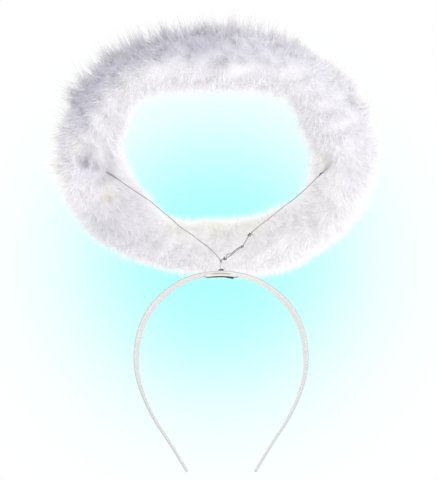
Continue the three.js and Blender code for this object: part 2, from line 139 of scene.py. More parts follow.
# The patch's colours include a painted shadow line along its front edge, where it meets the band
PATCH_EDGE = {"thin": 0.1, "upper": 0.02, "lip": 0.42, "lip_wide": 0.17, "end": 0.12, "least_lift": 0.05,
              "lift": 0.75, "dark_from": -0.06, "dark_over": 0.1, "gap_shadow_to": 0.76, "gap_shadow_over": 0.12,
              "pale": np.array([0.63, 0.62, 0.565]), "dark": np.array([0.03, 0.04, 0.035]),
              "gap_shadow": np.array([0.34, 0.3, 0.25]), "upper_shade": 0.6}
# Share of the patch's length, depth of its curled lip
PATCH_LIP = [
    (0, 0.3), (0.14, 0.5), (0.33, 0.6), (0.61, 0.6), (0.72, 1.05), (0.84, 1.25), (0.91, 0.2), (1, 0.6),
]
DOWN_TONES = ((0.945, 0.934, 0.952), (0.981, 0.975, 0.982))
HOOP_TONES = ((0.3, 0.29, 0.29), (0.42, 0.41, 0.41))
# Distance from the glow's middle in metres, share of red
GLOW = [
    (0, 0.429), (0.138, 0.462), (0.206, 0.52), (0.275, 0.605), (0.344, 0.707), (0.407, 0.805),
    (0.482, 0.893), (0.55, 0.948), (0.66, 0.989), (0.78, 1),
]
CAMERA = {"below": 15, "distance": 500, "focal_px": 667, "aim": (-1.5, 0, 28.6),
          "image_px": 480, "sensor": 36}
# Places and sizes of the stage and the lights in metres
STAGE = {"size": 8, "floor": (0, 0, -0.34), "wall": (0, 1.3, 0.5), "glow": (-0.01, -0.152, 0)}
LIGHTS = [("key", (0.45, -0.9, -0.28), 0.8, 10), ("fill", (-0.7, -0.7, 0.35), 0.9, 1)]
LIT = {"aim": (0, 0, 0.06), "world": 1.39}


def unit(v):
    return v / np.linalg.norm(v, axis=-1, keepdims=True)


def eased(t):
    return t * t * (3 - 2 * t)


def distance_along(points):
    """How far along a line each of its points lies."""
    return np.r_[0, np.cumsum(np.linalg.norm(np.diff(points, axis=0), axis=1))]


def read_along(at, gone, points):
    """The places at some distances along a line."""
    return np.stack([np.interp(at, gone, points[:, k]) for k in range(3)], -1)


def over_flats(radius, sides):
    """A radius that clears a round of so many flat sides."""
    return radius / math.cos(math.pi / sides)


def looking(below):
    """The way someone looks who looks up by some degrees."""
    below = math.radians(below)
    return np.array([0, math.cos(below), math.sin(below)])


def table(rows, at, column):
    """A table's column read between its rows, eased at each row."""
    keys = np.array([row[0] for row in rows], float)
    values = np.array([row[column] for row in rows], float)
    at = np.asarray(at, float)
    i = np.clip(np.searchsorted(keys, at), 1, len(keys) - 1)
    t = np.clip((at - keys[i - 1]) / (keys[i] - keys[i - 1]), 0, 1)
    return values[i - 1] + (values[i] - values[i - 1]) * eased(t)


CROWN_TOP = BAND["wall"] + 2 * CLEARANCE + WIRE["arm"] + PATCH["thickness"]
STEM_REACH = (WIRE["arm"] + CLEARANCE) / 2
JUNCTION = CROWN_TOP + STEM["height"]
TILT = math.radians(HALO["tilt"])
RAISED = np.array([0, -math.cos(TILT), math.sin(TILT)])
THROUGH = np.array([0, math.sin(TILT), math.cos(TILT)])


def out_from(turn):
    a = np.radians(np.asarray(turn, float))[..., None]
    return np.cos(a) * np.array([1.0, 0, 0]) + np.sin(a) * RAISED


def halo_point(turn, outward):
    turn = np.asarray(turn, float)
    reach = HALO["radius"] * (1 + table(HALO_SHAPE, turn % 360, 1)) + outward
    return np.array([HALO["shift"], 0, CROWN_TOP + HALO["rise"]]) + out_from(turn) * reach[..., None]


def half_thickness(turn):
    return HALO["fullness"] * table(HALO_SHAPE, np.asarray(turn) % 360, 2)


def trim_point(turn, angle, share):
    half = half_thickness(turn) * share
    return halo_point(turn, half * np.cos(angle)) + THROUGH * (half * np.sin(angle))[..., None]


def smooth_curve(knots, count):
    """Evenly spaced points on a centripetal curve through the knots."""
    p = np.array(knots, float)
    p = np.vstack([2 * p[0] - p[1], p, 2 * p[-1] - p[-2]])
    dense = []
    t = np.linspace(0, 1, 40, endpoint=False)[:, None]
    for i in range(1, len(p) - 2):
        a, b, c = (np.linalg.norm(p[i + k] - p[i + k - 1]) ** 0.5 for k in range(3))
        m1 = ((p[i] - p[i - 1]) / a - (p[i + 1] - p[i - 1]) / (a + b) + (p[i + 1] - p[i]) / b) * b
        m2 = ((p[i + 1] - p[i]) / b - (p[i + 2] - p[i]) / (b + c) + (p[i + 2] - p[i + 1]) / c) * b
        dense.append((2 * t**3 - 3 * t**2 + 1) * p[i] + (t**3 - 2 * t**2 + t) * m1
                     + (3 * t**2 - 2 * t**3) * p[i + 1] + (t**3 - t**2) * m2)
    dense = np.vstack(dense + [p[-2:-1]])
    return resample(dense, count)


def resample(points, count):
    gone = distance_along(points)
    return read_along(np.linspace(0, gone[-1], count), gone, points)


def frames(path, start):
    """Directions along and across a path that don't spin as it bends."""
    along = unit(np.gradient(path, axis=0))
    across = np.empty_like(path)
    side = np.array(start, float)
    for i, forward in enumerate(along):
        side = side - forward * (side @ forward)
        side = side / np.linalg.norm(side)
        across[i] = side
    return along, across, np.cross(along, across)


def mesh_object(name, points, faces, material, smooth=True):
    mesh = bpy.data.meshes.new(name)
    mesh.from_pydata((np.asarray(points) * MM).tolist(), [], [list(map(int, f)) for f in faces])
    mesh.validate()
    mesh.polygons.foreach_set("use_smooth", [smooth] * len(mesh.polygons))
    obj = bpy.data.objects.new(name, mesh)
    bpy.context.scene.collection.objects.link(obj)
    mesh.materials.append(material)
    return obj


def lofted(sections, joined=False):
    """Points and faces of a closed body through equal sections."""
    sections = np.asarray(sections)
    rows, count = sections.shape[:2]
    i, j = np.meshgrid(np.arange(rows if joined else rows - 1), np.arange(count), indexing="ij")
    k, n = (j + 1) % count, (i + 1) % rows
    quads = np.stack([i * count + j, i * count + k, n * count + k, n * count + j], -1).reshape(-1, 4)
    faces = quads.tolist()
    if not joined:
        faces += [list(range(count))[::-1], [(rows - 1) * count + x for x in range(count)]]
    return sections.reshape(-1, 3), faces


def tube(path, radius, start, sides=8):
    along, across, third = frames(path, start)
    a = np.linspace(0, 2 * np.pi, sides, endpoint=False)
    radius = np.broadcast_to(np.asarray(radius, float), (len(path),))[:, None, None]
    ring = np.cos(a)[None, :, None] * across[:, None] + np.sin(a)[None, :, None] * third[:, None]
    return lofted(path[:, None] + ring * radius)


def joined_bodies(bodies):
    points, faces, base = [], [], 0
    for body_points, body_faces in bodies:
        points.append(body_points)
        faces += [[index + base for index in face] for face in body_faces]
        base += len(body_points)
    return np.vstack(points), faces


def two_strands(path, diameter, start):
    """A wire of two fine strands twisted together, inside a round of the given diameters."""
    along, across, third = frames(path, start)
    gone = distance_along(path)
    bodies = []
    for phase in (0, np.pi):
        a = (gone / STRAND["pitch"] * 2 * np.pi + phase)[:, None]
        line = path + (np.cos(a) * across + np.sin(a) * third) * diameter[:, None] * STRAND["aside"]
        bodies.append(tube(line, diameter * STRAND["radius"], start, 6))
    return joined_bodies(bodies)


def band_edge():
    half = [(s * BAND["width"] / 2, 0, CROWN_TOP - d * BAND["height"]) for s, d in BAND_SHAPE]
    knots = [(-x, y, z) for x, y, z in half[1:][::-1]] + half
    return smooth_curve(knots, 1601)


EDGE = band_edge()
EDGE_GONE = distance_along(EDGE)
EDGE_LENGTH = EDGE_GONE[-1]
EDGE_ALONG = unit(np.gradient(EDGE, axis=0))


def band_point(distance, depth):
    at = np.clip(np.asarray(distance, float) + EDGE_LENGTH / 2, 0, EDGE_LENGTH)
    point = read_along(at, EDGE_GONE, EDGE)
    along = read_along(at, EDGE_GONE, EDGE_ALONG)
    inward = unit(np.stack([along[..., 2], 0 * at, -along[..., 0]], -1))
    return point + inward * np.asarray(depth, float)[..., None]


def arm_route(arm):
    start = np.array([arm["side"] * STEM_REACH, 0, JUNCTION])
    middle = halo_point(arm["turn"], HALO["outward"])
    axis = out_from(arm["turn"] + 90)
    away = start - middle
    inward = unit(away - axis * (away @ axis))
    below = np.cross(inward, axis)
    below = below * (-1 if below[2] > 0 else 1)
    reach = over_flats((WIRE["ring"] + WIRE["arm"]) / 2 + CLEARANCE, 10)
    end = middle + below * reach
    line = end - start
    length = np.linalg.norm(line)
    rise = unit(np.array([0, 0, 1.0]) - line * line[2] / length**2)
    knots = [start + line * along + rise * up * length for along, up in arm["bow"]]
    curve = smooth_curve([start, *knots, end + inward * COIL["approach"], end], 500)
    return {"curve": curve, "end": end, "middle": middle, "axis": axis, "inward": inward, "below": below,
            "reach": reach}


ROUTES = {name: arm_route(arm) for name, arm in ARMS.items()}


def twist_back(arm, route, sideways):
    length, turns = arm["twist"]
    total = np.linalg.norm(np.diff(route["curve"], axis=0), axis=1).sum()
    count = 12 * math.ceil(turns) + 12
    share = np.linspace(0, 1, count)
    guide = route["curve"][::-1]
    gone = np.linspace(0, total, len(guide))
    guide = read_along(share * length, gone, guide)
    along, across, third = frames(guide, route["below"])
    first = math.hypot(2 * route["reach"], sideways)
    tight = WIRE["arm"] * 0.6
    t = np.clip((share * length - COIL["straight"]) / (COIL["close"] - COIL["straight"]), 0, 1)
    reach = first + (tight - first) * eased(t)
    turned = np.maximum(0, share * length - COIL["twist"]) / (length - COIL["twist"])
    hand = np.sign(third[0] @ route["axis"])
    angle = hand * (math.atan2(sideways, -2 * route["reach"]) + turned * turns * 2 * np.pi)
    around = np.cos(angle)[:, None] * across + np.sin(angle)[:, None] * third
    return (guide + reach[:, None] * around)[1:]


def arm_path(name):
    arm, route = ARMS[name], ROUTES[name]
    side = arm["side"]
    distance = side * np.linspace(TAIL["length"], STEM_REACH + TAIL["bend"], 5)
    tail = band_point(distance, np.full(5, BAND["wall"] + CLEARANCE + WIRE["arm"] / 2))
    tail[:, 1] = -side * (CLEARANCE + WIRE["arm"]) * 0.62
    base = CROWN_TOP - BAND["wall"] - CLEARANCE - WIRE["arm"] / 2 + 0.1
    share = np.linspace(0, 1, 24, endpoint=False)
    angle = (0 if side > 0 else np.pi) - (1 - share) * STEM["turns"] * 2 * np.pi
    height = base + (JUNCTION - base) * share
    stem = np.stack([STEM_REACH * np.cos(angle), STEM_REACH * np.sin(angle), height], -1)
    a = np.linspace(0, COIL["turns"] * 2 * np.pi, 16)[:, None]
    pitch = WIRE["arm"] + CLEARANCE + 0.1
    coil = (route["middle"] + route["below"] * route["reach"] * np.cos(a)
            - route["inward"] * route["reach"] * np.sin(a) + route["axis"] * a / (2 * np.pi) * pitch)
    back = twist_back(arm, route, COIL["turns"] * pitch)
    knots = np.vstack([tail, stem, route["curve"][:-1:12], coil, back])
    return smooth_curve(knots, 760)


def wound_path(guide, rows, start, length, tight, count):
    """A wire wound round a guide, from a table of distance, turns and stand-off."""
    rows = np.array(rows, float)
    at = np.linspace(0, len(rows) - 1, 60 * len(rows))
    up, turns, stand = (np.interp(at, np.arange(len(rows)), rows[:, k]) for k in range(3))
    middle = read_along(start + up * length, distance_along(guide), guide)
    along, across, third = frames(middle, (0, -1, 0))
    a = (turns * 2 * np.pi)[:, None]
    return resample(middle + tight * stand[:, None] * (np.cos(a) * across + np.sin(a) * third), count)


def part_feathers(points, name, covered, under=0):
    """Presses feathers behind an arm wire, in a shallow valley that opens to the front and below."""
    route = ROUTES[name]
    view = -looking(VALLEY["below"])
    sideways = unit(np.cross(route["inward"], view))
    line = np.cross(view, sideways)
    line = line * np.sign(line @ route["inward"])
    guide = route["curve"][::-1] - route["end"]
    offset = points - route["end"]
    along, out = offset @ line, offset @ view
    side = offset @ sideways - np.interp(along, guide @ line, guide @ sideways)
    out = out - np.interp(along, guide @ line, guide @ view)
    aside = np.maximum(np.abs(side) - VALLEY["wide"], 0)
    toward_end = np.clip((VALLEY["end_from"] - along) / VALLEY["end_over"], 0, 1)
    slope = VALLEY["slope"] * (1 + VALLEY["end_slope"][name] * toward_end)
    rise = slope * (np.sqrt(side**2 + 1) - 1) + VALLEY["side_slope"] * aside
    closed = np.clip((covered - along) / VALLEY["closing"] + 1, 0, 1) + np.clip(
        (along - VALLEY["length"]) / VALLEY["closing"], 0, 1)
    allowed = rise - VALLEY["behind"] - under + VALLEY["closed_rise"] * closed**2
    over = np.maximum(out - allowed, 0) * (along > covered - 3 * VALLEY["closing"])
    from_wire = np.minimum(np.abs(side) / FUZZ["half_wide"], 1)
    keep = (under == 0) * (FUZZ["side"] * from_wire + FUZZ["end"] * closed)
    return points - view * (over * (1 - keep))[..., None]


def from_pit(points, along):
    """The way from a place on the left arm to the camera, and how far points lie that way and aside."""
    camera = np.array(CAMERA["aim"]) - CAMERA["distance"] * looking(CAMERA["below"])
    curve = ROUTES["left"]["curve"][::-1]
    place = read_along(along, distance_along(curve), curve)
    toward = unit(camera - place)
    offset = points - place
    out = offset @ toward
    return toward, out, np.linalg.norm(offset - out[..., None] * toward, axis=-1)


def open_pits(points, under=0):
    """Presses feathers back where the left arm's coil and the end of its twist show."""
    keep = FUZZ["pit"] * (under == 0)
    for along, slope, lift, _, _ in PITS:
        toward, out, away = from_pit(points, along)
        allowed = slope * (np.sqrt(away**2 + 1) - 1) + lift - under
        over = np.maximum(out - allowed, 0) * (away < PIT_REACH)
        points = points - toward * (over * (1 - keep))[..., None]
    return points


def pit_shade(points):
    """Painted shade in the pits over the left arm's coil and twist end, where the dark knots also show
    through the feathers in front of them.
    """
    shade = np.ones(len(points))
    for along, _, _, dark, reach in PITS:
        _, out, away = from_pit(points, along)
        shade = shade * (1 - dark * np.exp(-(away / reach) ** 2) * (out > 0))
    return shade[..., None]


def outline_angle(turn):
    """The way round the thickness that shows as the halo's outline to someone below and in front."""
    t = np.radians(turn)
    view = math.radians(VALLEY["below"])
    upward = np.array([0, -math.sin(view), math.cos(view)])
    rise = abs(RAISED @ upward)
    lift = THROUGH @ upward
    normal = unit(np.stack([rise * np.cos(t), np.sin(t)], -1))
    return np.arctan2(normal[:, 1] * lift, normal[:, 0] * np.cos(t) + normal[:, 1] * rise * np.sin(t))


def tuft_barbs(rng, kind, turn, angle, root_share, tip_share):
    """Barbs in tufts, each as a few points from its root: an array of tufts, barbs, points."""
    tufts, each = kind["tufts"], kind["each"]
    half = half_thickness(turn)
    root = trim_point(turn, angle, root_share)
    outward = unit(trim_point(turn, angle, 1.0) - trim_point(turn, angle, 0.5))
    ring_way = out_from(turn + 90)
    third = np.cross(outward, ring_way)
    forward = rng.normal(TUFT["forward"], kind.get("lean", TUFT["lean"]), tufts)[:, None]
    aside = rng.normal(0, TUFT["aside"], tufts)[:, None]
    axis = unit(outward + ring_way * forward + third * aside)
    length = half * (tip_share - root_share)
    shape = (tufts, each, 1)
    way = unit(axis[:, None] + rng.normal(0, kind["spread"], (tufts, each, 3)))
    start = root[:, None] + rng.normal(0, TUFT["scatter"], (tufts, each, 3))
    reach = length[:, None, None] * (TUFT["shortest"] + TUFT["longer"] * rng.random(shape))
    bend = axis[:, None] * TUFT["bend"] - (way - axis[:, None]) * kind["converge"]
    bend = bend + rng.normal(0, TUFT["unrest"], (tufts, each, 3))
    s = np.array(kind.get("steps", TUFT["steps"]))[None, None, :, None]
    curled = way[:, :, None] * s + bend[:, :, None] * s * s * TUFT["curl"]
    return start[:, :, None] + reach[:, :, None] * curled


def soft_tufts(rng):
    """The feathers' own barbs, in tufts all round the hoop."""
    tufts = BARBS["tufts"]
    turn = (np.arange(tufts) + rng.random(tufts)) / tufts * 360
    angle = (np.arange(tufts) * BARBS["golden"] + 0.1 * rng.random(tufts)) * 2 * np.pi
    root_share = BARBS["root"] * (0.6 + 0.8 * rng.random(tufts))
    tip_share = 0.97 + 0.09 * rng.random(tufts)
    return tuft_barbs(rng, BARBS, turn, angle, root_share, tip_share), turn, angle


def undercoat(rng):
    """Short broad barbs close over the core."""
    tufts = DOWN["tufts"]
    turn = rng.random(tufts) * 360
    angle = rng.random(tufts) * 2 * np.pi
    root_share = CORE["share"] - 0.1 * rng.random(tufts)
    tip_share = root_share + 0.12 + 0.14 * rng.random(tufts)
    return tuft_barbs(rng, DOWN, turn, angle, root_share, tip_share), turn, angle


def long_wisps(rng):
    """Longer, sparser barbs that stand out round the raised side of the halo."""
    tufts = WISPS["tufts"]
    turn = WISP_REACH[-1][0] * rng.beta(1.5, 1.35, tufts)
    angle = outline_angle(turn) + rng.normal(0, 0.42, tufts)
    root_share = 0.55 + 0.2 * rng.random(tufts)
    tip_share = 1.04 + WISPS["reach"] * table(WISP_REACH, turn, 1) * (0.25 + 0.75 * rng.random(tufts))
    return tuft_barbs(rng, WISPS, turn, angle, root_share, tip_share), turn, angle


def feather_tint(points, turn, angle):
    """White down with painted cool shade on the raised arc, painted shade in its creases, round the left
    arm's coil and in the pits, and a few stains.
    """
    facing = np.clip(np.cos(angle - outline_angle(turn)) + SHADE["wrap"], 0, 1)
    outer, over = (table(SHADE_ROUND, turn % 360, column) for column in (1, 2))
    # Painted shade: cooler and darker on the side toward the outline, most on the raised arc
    cool = outer * eased(facing) + over
    tint = 1 - SHADE["cool"] * cool[..., None] * SHADE["colour"]
    for at_turn, at_angle, reach, colour in MARKS:
        place = trim_point(np.array(at_turn), np.array(math.radians(at_angle)), 0.95)
        close = np.exp(-((points - place) ** 2).sum(-1) / (2 * reach**2))[..., None]
        tint = tint * (1 - close * (1 - np.array(colour)))
    return np.clip(tint * pit_shade(points), 0, 1)


def barb_tints(points, turn, angle, rng, depth, shade):
    tufts, each, count = points.shape[:3]
    shape = (tufts, each, count)
    turns, angles = (np.broadcast_to(x[:, None, None], shape).ravel() for x in (turn, angle))
    tint = feather_tint(points.reshape(-1, 3), turns, angles).reshape(*shape, 3)
    # Painted shade: each barb darker toward its tip
    tips = depth * np.linspace(0, 1, count)[None, None, :, None]
    unrest = 1 + SHADE["unrest"] * rng.standard_normal((tufts, each, 1, 1))
    return np.clip(tint * shade * (1 - tips) * unrest, 0, 1)


def ribbons(points, tint, facing, width, tilt, rng):
    """Thin tapered ribbons along the barbs, as vertices, triangles and vertex tints."""
    steps = points.shape[-2]
    flat = points.reshape(-1, steps, 3)
    count = len(flat)
    way = unit(flat[:, -1] - flat[:, 0])
    side = unit(np.cross(way, facing.reshape(-1, 3) + tilt * rng.standard_normal((count, 3))))
    spread = side[:, None] * (width / 2 * RIBBON_WIDTHS[:steps - 1])[None, :, None]
    pairs = np.stack([flat[:, :-1] - spread, flat[:, :-1] + spread], 2)
    pairs = pairs.reshape(count, 2 * (steps - 1), 3)
    vertices = np.concatenate([pairs, flat[:, -1:]], 1)
    tint = np.repeat(tint.reshape(-1, steps, 3), [2] * (steps - 1) + [1], axis=1)
    pattern = []
    for k in range(0, 2 * steps - 4, 2):
        pattern += [[k, k + 1, k + 3], [k, k + 3, k + 2]]
    pattern = np.array(pattern + [[2 * steps - 4, 2 * steps - 3, 2 * steps - 2]])
    triangles = (np.arange(count) * (2 * steps - 1))[:, None, None] + pattern
    return vertices.reshape(-1, 3), triangles.reshape(-1, 3), tint.reshape(-1, 3)


def array_mesh(name, vertices, triangles, tint, material):
    mesh = bpy.data.meshes.new(name)
    mesh.vertices.add(len(vertices))
    mesh.vertices.foreach_set("co", (vertices * MM).astype(np.float32).ravel())
    mesh.loops.add(triangles.size)
    mesh.loops.foreach_set("vertex_index", triangles.astype(np.int32).ravel())
    mesh.polygons.add(len(triangles))
    mesh.polygons.foreach_set("loop_start", np.arange(0, triangles.size, 3, dtype=np.int32))
    mesh.update(calc_edges=True)
    mesh.materials.append(material)
    obj = bpy.data.objects.new(name, mesh)
    bpy.context.scene.collection.objects.link(obj)
    paint(obj, tint)
    return obj


def paint(obj, tint):
    colour = obj.data.color_attributes.new("tint", "FLOAT_COLOR", "POINT")
    colour.data.foreach_set("color", np.c_[tint, np.ones(len(tint))].astype(np.float32).ravel())


def node_material(name, roughness):
    material = bpy.data.materials.new(name)
    material.use_nodes = True
    tree = material.node_tree
    shader = tree.nodes["Principled BSDF"]
    shader.inputs["Roughness"].default_value = roughness
    return material, tree, shader


def grain(tree, scale, detail, tones):
    """Noise over the object's own coordinates, and a ramp of two colours along it."""
    coordinates = tree.nodes.new("ShaderNodeTexCoord")
    noise = tree.nodes.new("ShaderNodeTexNoise")
    noise.inputs["Scale"].default_value = scale
    noise.inputs["Detail"].default_value = detail
    tree.links.new(coordinates.outputs["Object"], noise.inputs["Vector"])
    ramp = tree.nodes.new("ShaderNodeValToRGB")
    for stop, tone in zip(ramp.color_ramp.elements, tones):
        stop.color = (*tone, 1)
    tree.links.new(noise.outputs["Fac"], ramp.inputs["Fac"])
    return noise, ramp


def mottled_tint(tree, ramp):
    """The tint of each point, mottled by a ramp of colours."""
    tint = tree.nodes.new("ShaderNodeVertexColor")
    tint.layer_name = "tint"
    mix = tree.nodes.new("ShaderNodeMix")
    mix.data_type = "RGBA"
    mix.blend_type = "MULTIPLY"
    mix.inputs["Factor"].default_value = 1
    tree.links.new(ramp.outputs["Color"], mix.inputs["A"])
    tree.links.new(tint.outputs["Color"], mix.inputs["B"])
    return mix.outputs["Result"]


def feather_material():
    """Soft white down, which lets some light through."""
    material, tree, shader = node_material("marabou", 0.9)
    _, ramp = grain(tree, 90, 3, DOWN_TONES)
    colour = mottled_tint(tree, ramp)
    tree.links.new(colour, shader.inputs["Base Color"])
    shader.inputs["Specular IOR Level"].default_value = 0.1
    translucent = tree.nodes.new("ShaderNodeBsdfTranslucent")
    tree.links.new(colour, translucent.inputs["Color"])
    blend = tree.nodes.new("ShaderNodeMixShader")
    blend.inputs["Fac"].default_value = 0.42
    tree.links.new(shader.outputs["BSDF"], blend.inputs[1])
    tree.links.new(translucent.outputs["BSDF"], blend.inputs[2])
    tree.links.new(blend.outputs["Shader"], tree.nodes["Material Output"].inputs["Surface"])
    return material


def down_core(material, rng):
    """The packed down nearest the hoop, as one lumpy ring."""
    turn = np.linspace(0, 360, CORE["turns"], endpoint=False)
    angle = np.linspace(0, 2 * np.pi, CORE["angles"], endpoint=False)
    turns, angles = np.meshgrid(turn, angle, indexing="ij")
    share = np.full(turns.shape, CORE["share"])
    for _ in range(CORE["waves"]):
        waves, round_waves, phase = rng.integers(8, 40), rng.integers(1, 5), rng.random() * 6.28
        share = share + CORE["wave"] * np.sin(np.radians(turns) * waves + angles * round_waves + phase)
    points = trim_point(turns, angles, share)
    for name, arm in ARMS.items():
        points = part_feathers(points, name, arm["covered"], CORE["behind_wire"])
    points = open_pits(points, CORE["under_pit"])
    vertices, faces = lofted(points, joined=True)
    tint = feather_tint(vertices, turns.ravel(), angles.ravel())
    obj = mesh_object("down_core", vertices, faces, material)
    paint(obj, tint * CORE["tint"])
    return obj


def tuft_groups(rng):
    """Barbs, turns, tints, facings, width and tilt of each kind of tuft."""
    groups = []
    for kind, (points, turn, angle), depth, shade in (
            (BARBS, soft_tufts(rng), SHADE["tips"], 1),
            (DOWN, undercoat(rng), SHADE["tips"] / 2, 1),
            (WISPS, long_wisps(rng), 0, WISPS["tint"])):
        for name, arm in ARMS.items():
            points = part_feathers(points, name, arm["covered"])
        points = open_pits(points)
        outward = unit(trim_point(turn, angle, 1.0) - trim_point(turn, angle, 0.5))
        facing = np.broadcast_to(outward[:, None], points.shape[:2] + (3,))
        tint = barb_tints(points, turn, angle, rng, depth, shade)
        groups.append((points, turn, tint, facing, kind["width"], kind["tilt"]))
    return groups


def build_feathers():
    rng = np.random.default_rng(BARBS["seed"])
    material = feather_material()
    pieces = [down_core(material, rng)]
    groups = tuft_groups(rng)
    for k in range(BARBS["sectors"]):
        parts = []
        for points, turn, tint, facing, width, tilt in groups:
            rows = (turn % 360 // (360 / BARBS["sectors"])).astype(int) == k
            parts.append(ribbons(points[rows], tint[rows], facing[rows], width, tilt, rng))
        starts = np.cumsum([0] + [len(part[0]) for part in parts[:-1]])
        vertices = np.vstack([part[0] for part in parts])
        triangles = np.vstack([part[1] + start for part, start in zip(parts, starts)])
        tints = np.vstack([part[2] for part in parts])
        pieces.append(array_mesh(f"feathers_{k + 1}", vertices, triangles, tints, material))
    for piece in pieces:
        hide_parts("left_feathers", "right_feathers")
        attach(piece, "root")


def tinted_material(name, roughness, specular, scale, tones=(0.9, 1), relief=0.3):
    """A soft finish coloured by the tint of each point, with fine grain."""
    material, tree, shader = node_material(name, roughness)
    noise, ramp = grain(tree, scale, 4, [(tone, tone, tone) for tone in tones])
    tree.links.new(mottled_tint(tree, ramp), shader.inputs["Base Color"])
    bump = tree.nodes.new("ShaderNodeBump")
    bump.inputs["Strength"].default_value = relief
    bump.inputs["Distance"].default_value = 0.1 * MM
    tree.links.new(noise.outputs["Fac"], bump.inputs["Height"])
    tree.links.new(bump.outputs["Normal"], shader.inputs["Normal"])
    shader.inputs["Specular IOR Level"].default_value = specular
    return material


def wire_material(name, roughness):
    """Dull annealed wire, coloured by the tint of each point, with faint mottling."""
    material = tinted_material(name, roughness, 0.5, 1400, (0.82, 1))
    material.node_tree.nodes["Principled BSDF"].inputs["Metallic"].default_value = 0.85
    return material


def dress_hoop(hoop):
    """The hoop inside the feathers, a dull grey wire with faint mottling."""
    material, tree, shader = node_material("hoop_wire", 0.42)
    _, ramp = grain(tree, 900, 2, HOOP_TONES)
    tree.links.new(ramp.outputs["Color"], shader.inputs["Base Color"])
    shader.inputs["Metallic"].default_value = 0.85
    hoop.data.materials.clear()
    hoop.data.materials.append(material)


def arm_diameters(name, path):
    """A thinner wire within the twist's length of the hoop, and a nub where the wire is cut."""
    twist = ARMS[name]["twist"][0]
    away = np.linalg.norm(path - ROUTES[name]["middle"], axis=1)
    thin = np.clip((twist + 1 - away) / STRAND["fade"], 0, 1)
    from_cut = np.linalg.norm(path - path[-1], axis=1) / STRAND["nub_reach"]
    nub = np.exp(-from_cut**2) * (np.arange(len(path)) > len(path) / 2)
    return WIRE["arm"] * ((1 - STRAND["single"] * thin) * (1 - nub) + STRAND["nub"] * nub)


def arm_tint(points, end):
    """Greyish brown wire, pale on the stem, dark where the arms part and at its cut end."""
    tint = np.tile(ARM_TINT["wire"], (len(points), 1))
    stem = (np.abs(points[:, 0]) < 2) & (np.abs(points[:, 1]) < 2)
    up = (points[:, 2] - CROWN_TOP) / STEM["height"]
    tint[stem & (up < ARM_TINT["parting"])] = ARM_TINT["stem"]
    tint[stem & (up >= ARM_TINT["parting"]) & (up < ARM_TINT["parted"])] = ARM_TINT["dark"]
    tint[np.linalg.norm(points - end, axis=1) < ARM_TINT["cut_end"]] = ARM_TINT["binding"]
    return tint


def build_arms():
    finish = wire_material("arm_wire", 0.42)
    for name in ARMS:
        path = arm_path(name)
        points, faces = two_strands(path, arm_diameters(name, path), (0, -1, 0))
        piece = mesh_object(f"{name}_arm", points, faces, finish)
        paint(piece, arm_tint(points, path[-1]))
        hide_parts(f"{name}_arm_wire")
        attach(piece, "root")


def build_binding(finish):
    """The fine wire wound up the right arm."""
    tight = over_flats((WIRE["arm"] + WIRE["binding"]) / 2 + CLEARANCE, 7)
    guide = ROUTES["right"]["curve"]
    path = wound_path(guide, BINDING_PATH, BINDING["start"], BINDING["length"], tight, 420)
    points, faces = tube(path, WIRE["binding"] / 2, (0, 0, 1))
    piece = mesh_object("binding", points, faces, finish)
    paint(piece, np.tile(ARM_TINT["binding"], (len(points), 1)))
    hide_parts("junction_wrap")
    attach(piece, "root")


def build_stem_coil(finish):
    """The fine wire's turns round the foot of the stem."""
    reach = over_flats(STEM_REACH + (WIRE["arm"] + WIRE["binding"]) / 2 + CLEARANCE, 12)
    a = np.linspace(0, STEM["coil_turns"] * 2 * np.pi, 80)
    base = CROWN_TOP + CLEARANCE + WIRE["binding"] / 2
    rise = base + a / (2 * np.pi) * (WIRE["binding"] + CLEARANCE)
    path = np.stack([reach * np.cos(a), reach * np.sin(a), rise], -1)
    points, faces = tube(path, WIRE["binding"] / 2, (0, 0, 1))
    piece = mesh_object("stem_coil", points, faces, finish)
    paint(piece, np.tile(ARM_TINT["coil"], (len(points), 1)))
    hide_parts("base_coil")
    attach(piece, "root")


def build_wires():
    build_arms()
    binding_finish = wire_material("binding_wire", 0.45)
    build_binding(binding_finish)
    build_stem_coil(binding_finish)


def rounded_section(half_wide, half_thick, corner, steps=4):
    """A rounded rectangle about its middle: wide along the first axis, thin along the second."""
    points = []
    for sx, sy, first in ((1, 1, 0), (-1, 1, 90), (-1, -1, 180), (1, -1, 270)):
        for a in np.radians(first + np.linspace(0, 90, steps)):
            points.append((sx * (half_wide - corner) + corner * math.cos(a),
                           sy * (half_thick - corner) + corner * math.sin(a)))
    return np.array(points)


def build_band():
    """The strip in its ribbon, with painted shade: grey outer faces, a paler inside that darkens toward the
    tips and is lighter on the right; its back edge leans a little inward.
    """
    distance = np.linspace(-EDGE_LENGTH / 2, EDGE_LENGTH / 2, 260)
    far = np.abs(distance) / (EDGE_LENGTH / 2)
    depth = BAND["crown_depth"] + (BAND["tip_depth"] - BAND["crown_depth"]) * far**2
    sections, tints = [], []
    # Painted light: the inside lighter on the right than on the left
    sides = np.interp(distance, RIBBON["lit_over"], RIBBON["lit_side"])
    for at, wide, share, side in zip(distance, depth, far, sides):
        shape = rounded_section(wide / 2, BAND["wall"] / 2, RIBBON["corner"])
        lean = table(LEAN, share, 1) * (shape[:, 0] / wide + 0.5)
        points = band_point(np.full(len(shape), at), BAND["wall"] / 2 + shape[:, 1] + lean)
        points[:, 1] = shape[:, 0]
        sections.append(points)
        inner = shape[:, 1] > BAND["wall"] * 0.2
        # Painted shade along the band: brightness outside and inside from crown to tip
        outside, inside = (RIBBON[face] * table(RIBBON_SHADE, share, column)
                           for column, face in ((1, "outer"), (2, "inner")))
        tints.append(np.where(inner[:, None], inside * side, outside))
    vertices, faces = lofted(np.array(sections))
    finish = tinted_material("ribbon", 0.45, 0.35, 2500, (0.985, 1), 0.05)
    piece = mesh_object("ribbon_band", vertices, faces, finish)
    paint(piece, np.vstack(tints))
    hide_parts("headband")
    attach(piece, "root")


